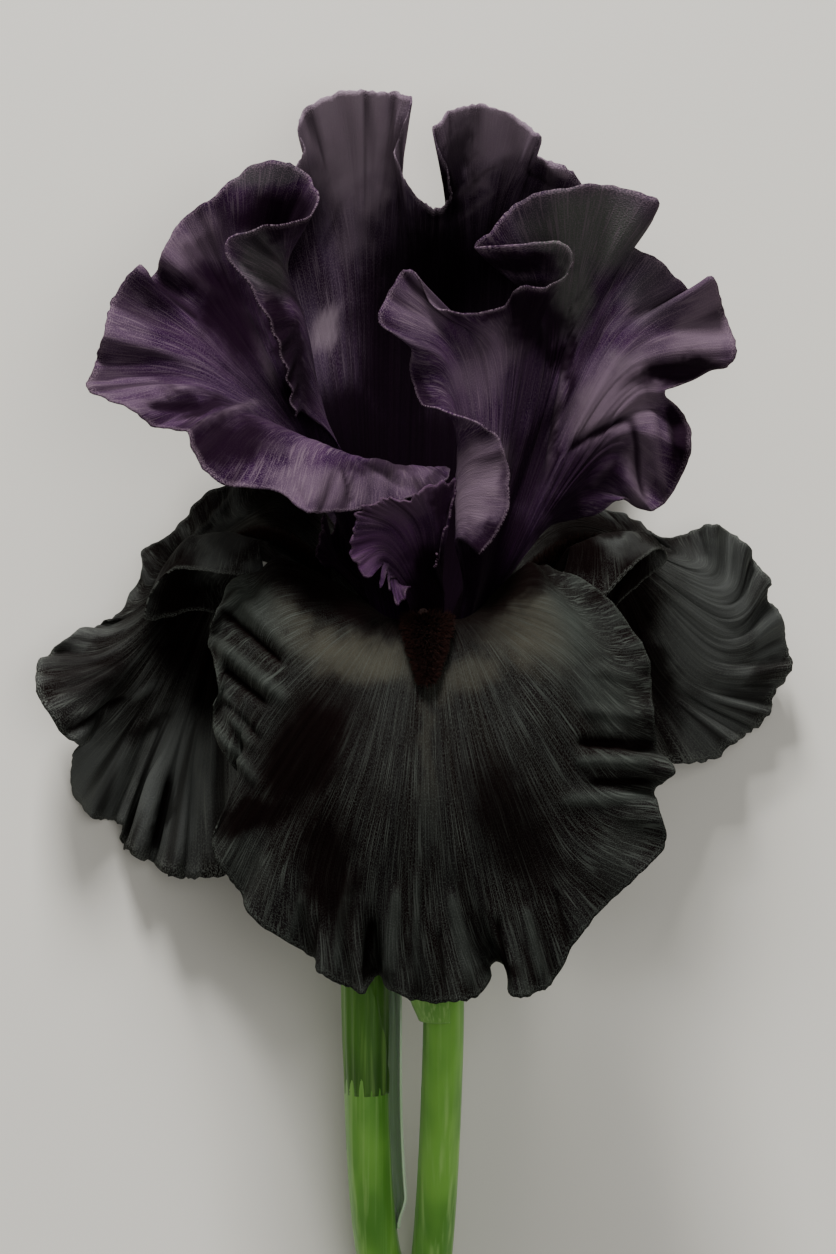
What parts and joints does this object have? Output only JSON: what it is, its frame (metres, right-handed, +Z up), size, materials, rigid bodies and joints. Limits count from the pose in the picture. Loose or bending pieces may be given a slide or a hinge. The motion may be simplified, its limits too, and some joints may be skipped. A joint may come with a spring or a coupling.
{
  "type": "bearded iris flower",
  "caption": "Cut bearded iris flower with ruffled near-black falls, dark purple standards, brown beards and a green forked stem, lying on its back.",
  "frame": {"origin": "middle of the flower's footprint on the surface it lies on", "axes": "+Y up the flower from the cut end of its stem to its standards, +X to the flower's right as seen from its front, +Z up from the surface towards the front fall"},
  "size_m": [0.128, 0.2267, 0.0629],
  "materials": {
    "fall": "velvety near-black petal with a grey-green sheen",
    "standard": "dark purple petal with a mauve-grey sheen",
    "beard": "dense dark brown hairs with rusty tips",
    "style_arm": "dark mauve, finely veined",
    "stamen": "pale filament and pollen-dusted anther",
    "tube": "green flushed with purple",
    "ovary": "smooth green with shallow ribs",
    "spathe": "papery green bract with a dry brown edge",
    "stem": "smooth green with a bluish bloom",
    "side_spathe": "green sheath with fine ribs",
    "side_bract": "pale bluish-green leafy bract"
  },
  "bodies": {
    "root": {"fall_front": "fall", "fall_left": "fall", "fall_right": "fall", "standard_left": "standard", "standard_right": "standard", "standard_back": "standard", "beard_front": "beard", "beard_left": "beard", "beard_right": "beard", "style_arm_front": "style_arm", "style_arm_left": "style_arm", "style_arm_right": "style_arm", "stamen_front": "stamen", "stamen_left": "stamen", "stamen_right": "stamen", "perianth_tube": "tube", "ovary": "ovary", "spathe_inner": "spathe", "spathe_outer": "spathe", "stem": "stem", "side_spathe": "side_spathe", "side_bract": "side_bract"}
  },
  "joints": []
}
